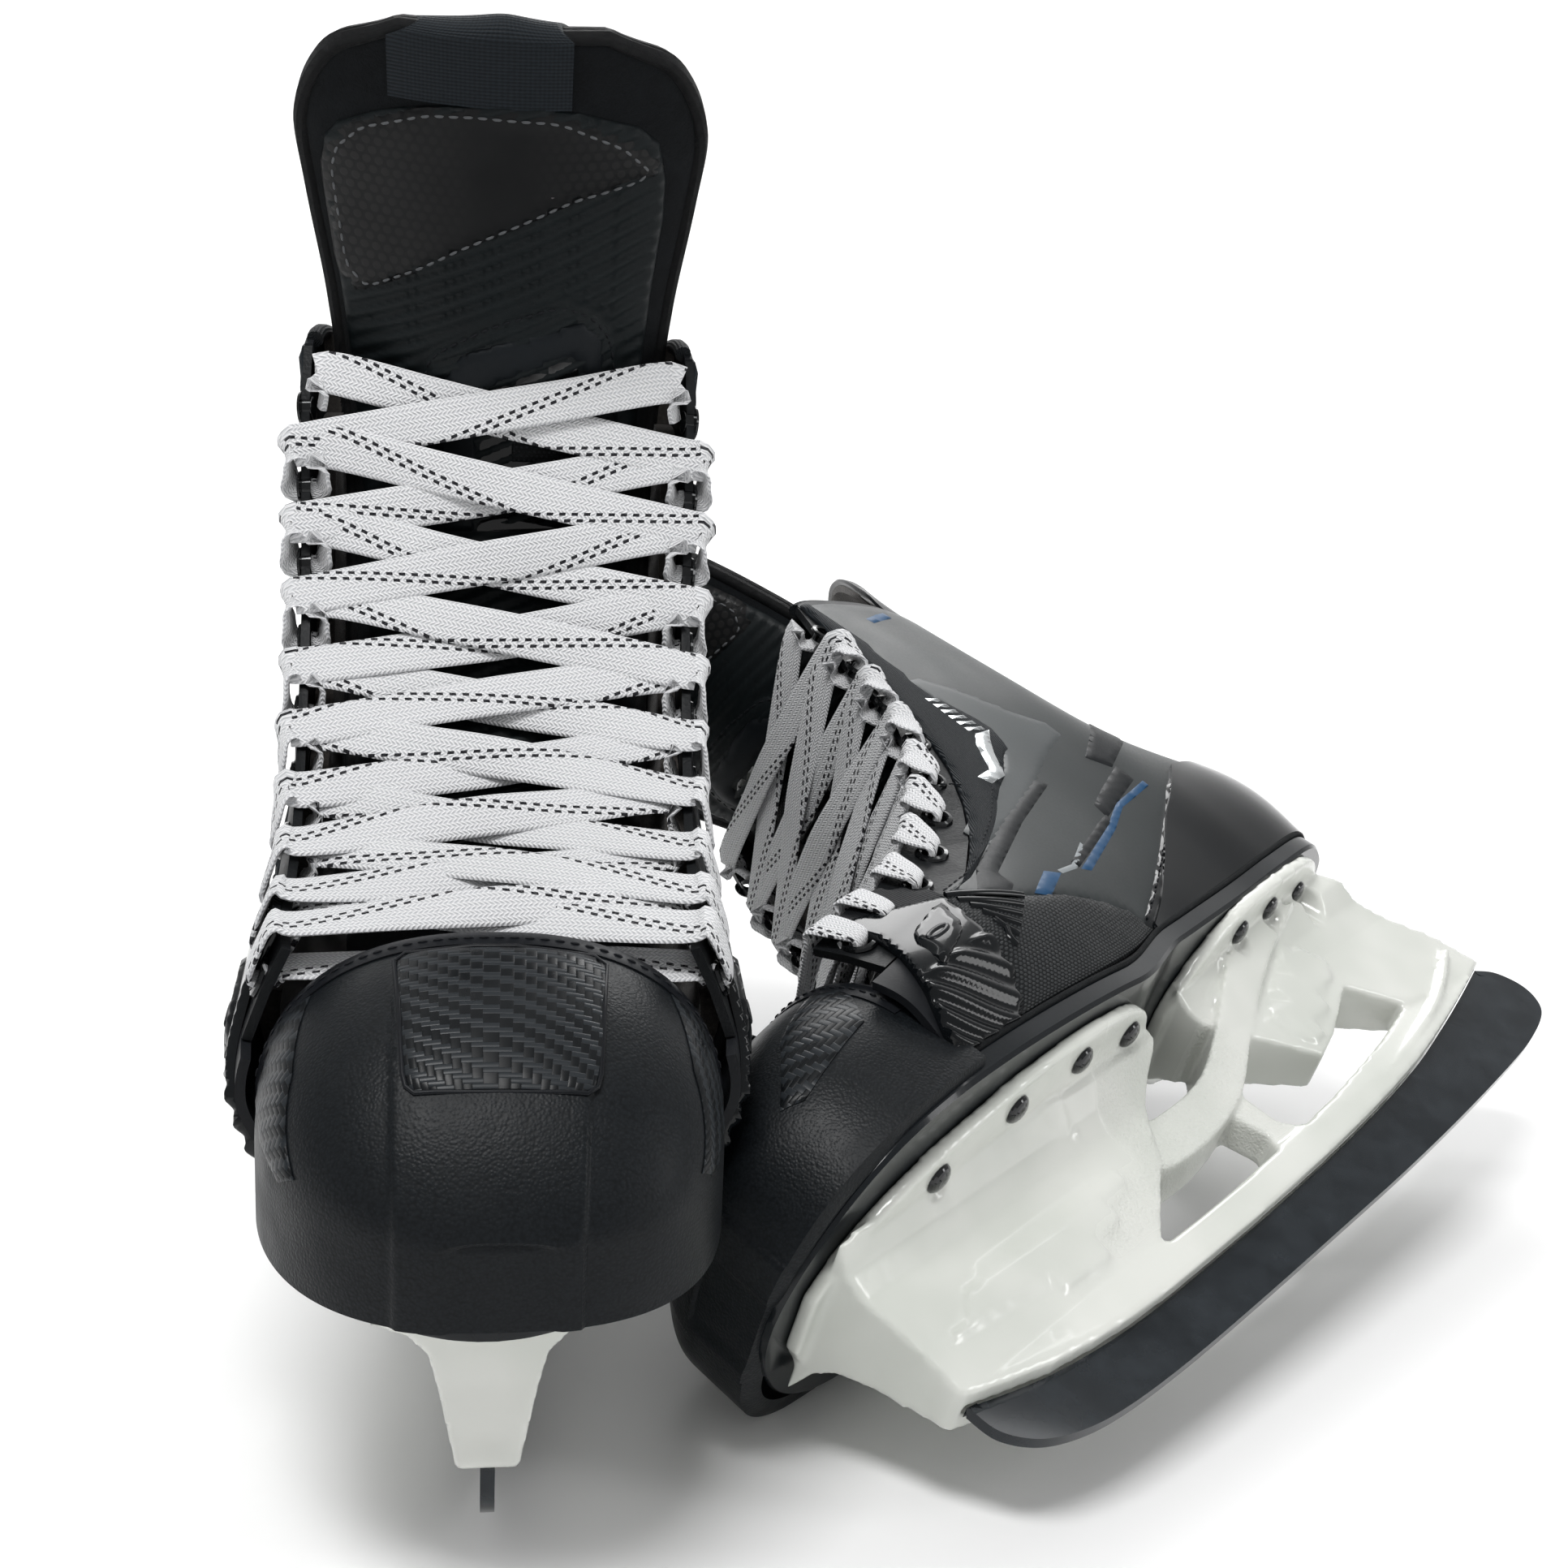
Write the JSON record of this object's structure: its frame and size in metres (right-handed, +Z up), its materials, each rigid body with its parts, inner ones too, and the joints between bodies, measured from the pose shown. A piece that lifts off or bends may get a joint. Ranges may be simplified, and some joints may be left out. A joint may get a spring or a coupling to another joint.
{
  "type": "pair of ice hockey skates",
  "caption": "Pair of laced hockey skates, one standing on its runner and one lying on its side, with flexing tongue tops and tendon guards.",
  "frame": {"origin": "middle of the pair's bounding box, on the surface the skates stand on", "axes": "+Z up, the standing right skate points its toe along -Y, the left skate lies beside it on the +X side"},
  "size_m": [0.3894, 0.3788, 0.3185],
  "materials": {
    "quarter_composite": "matt woven composite",
    "gloss_black": "high gloss",
    "satin_film": "satin film",
    "dark_fabric": "ribbed coated fabric",
    "mesh_fabric": "pebbled mesh",
    "felt_liner": "brushed felt",
    "toe_plastic": "pebbled matt",
    "carbon_twill": "embossed twill",
    "sole_composite": "gloss composite",
    "tongue_fabric": "ribbed synthetic",
    "tongue_leather": "smooth synthetic leather",
    "insert_gloss": "moulded gloss",
    "woven_tab": "folded woven tape",
    "lace_white": "waxed flat knit",
    "lock_grey": "moulded",
    "badge_silver": "satin metal",
    "holder_white": "gloss nylon",
    "runner_black": "black coated steel, ground edge",
    "rivet_black": "gloss coated copper",
    "bolt_steel": "plain"
  },
  "bodies": {
    "right_boot": {"right_outsole": "sole_composite", "right_quarter_shell": "quarter_composite", "right_facings": "quarter_composite", "right_liner": "felt_liner", "right_footbed": "felt_liner", "right_heel_cup": "gloss_black", "right_quarter_film_outer": "satin_film", "right_quarter_film_inner": "satin_film", "right_ankle_panel_outer": "dark_fabric", "right_ankle_panel_inner": "dark_fabric", "right_vamp_mesh_outer": "mesh_fabric", "right_vamp_mesh_inner": "mesh_fabric", "right_wing_outer": "gloss_black", "right_wing_inner": "gloss_black", "right_toe_cap": "toe_plastic", "right_toe_inlay": "carbon_twill", "right_tongue_lower": "tongue_fabric", "right_tongue_insert": "insert_gloss", "right_eyelets": "rivet_black", "right_lace": "lace_white", "right_lace_locks": "lock_grey", "right_ankle_badges": "badge_silver", "right_holder": "holder_white", "right_runner": "runner_black", "right_rivets": "rivet_black", "right_runner_bolts": "bolt_steel"},
    "right_tongue_top": {"right_tongue_upper": "tongue_fabric", "right_tongue_panel": "tongue_leather", "right_tongue_tab": "woven_tab"},
    "right_guard": {"right_tendon_guard": "quarter_composite"},
    "left_boot": {"left_outsole": "sole_composite", "left_quarter_shell": "quarter_composite", "left_facings": "quarter_composite", "left_liner": "felt_liner", "left_footbed": "felt_liner", "left_heel_cup": "gloss_black", "left_quarter_film_outer": "satin_film", "left_quarter_film_inner": "satin_film", "left_ankle_panel_outer": "dark_fabric", "left_ankle_panel_inner": "dark_fabric", "left_vamp_mesh_outer": "mesh_fabric", "left_vamp_mesh_inner": "mesh_fabric", "left_wing_outer": "gloss_black", "left_wing_inner": "gloss_black", "left_toe_cap": "toe_plastic", "left_toe_inlay": "carbon_twill", "left_tongue_lower": "tongue_fabric", "left_tongue_insert": "insert_gloss", "left_eyelets": "rivet_black", "left_lace": "lace_white", "left_lace_locks": "lock_grey", "left_ankle_badges": "badge_silver", "left_holder": "holder_white", "left_runner": "runner_black", "left_rivets": "rivet_black", "left_runner_bolts": "bolt_steel"},
    "left_tongue_top": {"left_tongue_upper": "tongue_fabric", "left_tongue_panel": "tongue_leather", "left_tongue_tab": "woven_tab"},
    "left_guard": {"left_tendon_guard": "quarter_composite"}
  },
  "joints": [
    {"name": "right_tongue_flex", "type": "hinge", "parent": "right_boot", "child": "right_tongue_top", "pos_m": [-0.1374, -0.0115, 0.25], "axis": [1, 0, 0], "range_deg": [0, 50], "stiffness_Nm_per_rad": 3},
    {"name": "right_guard_flex", "type": "hinge", "parent": "right_boot", "child": "right_guard", "pos_m": [-0.1374, 0.0825, 0.2225], "axis": [-1, 0, 0], "range_deg": [0, 30], "stiffness_Nm_per_rad": 3},
    {"name": "left_skate_slide", "type": "slide", "parent": "right_boot", "child": "left_boot", "axis": [1, 0, 0], "range_m": [0, 0.2]},
    {"name": "left_tongue_flex", "type": "hinge", "parent": "left_boot", "child": "left_tongue_top", "pos_m": [-0.06375, 0.10033, 0.11976], "axis": [0.1648, -0.3218, 0.9324], "range_deg": [0, 5], "stiffness_Nm_per_rad": 3},
    {"name": "left_guard_flex", "type": "hinge", "parent": "left_boot", "child": "left_guard", "pos_m": [0.02409, 0.14365, 0.11918], "axis": [-0.1648, 0.3218, -0.9324], "range_deg": [0, 30], "stiffness_Nm_per_rad": 3}
  ]
}
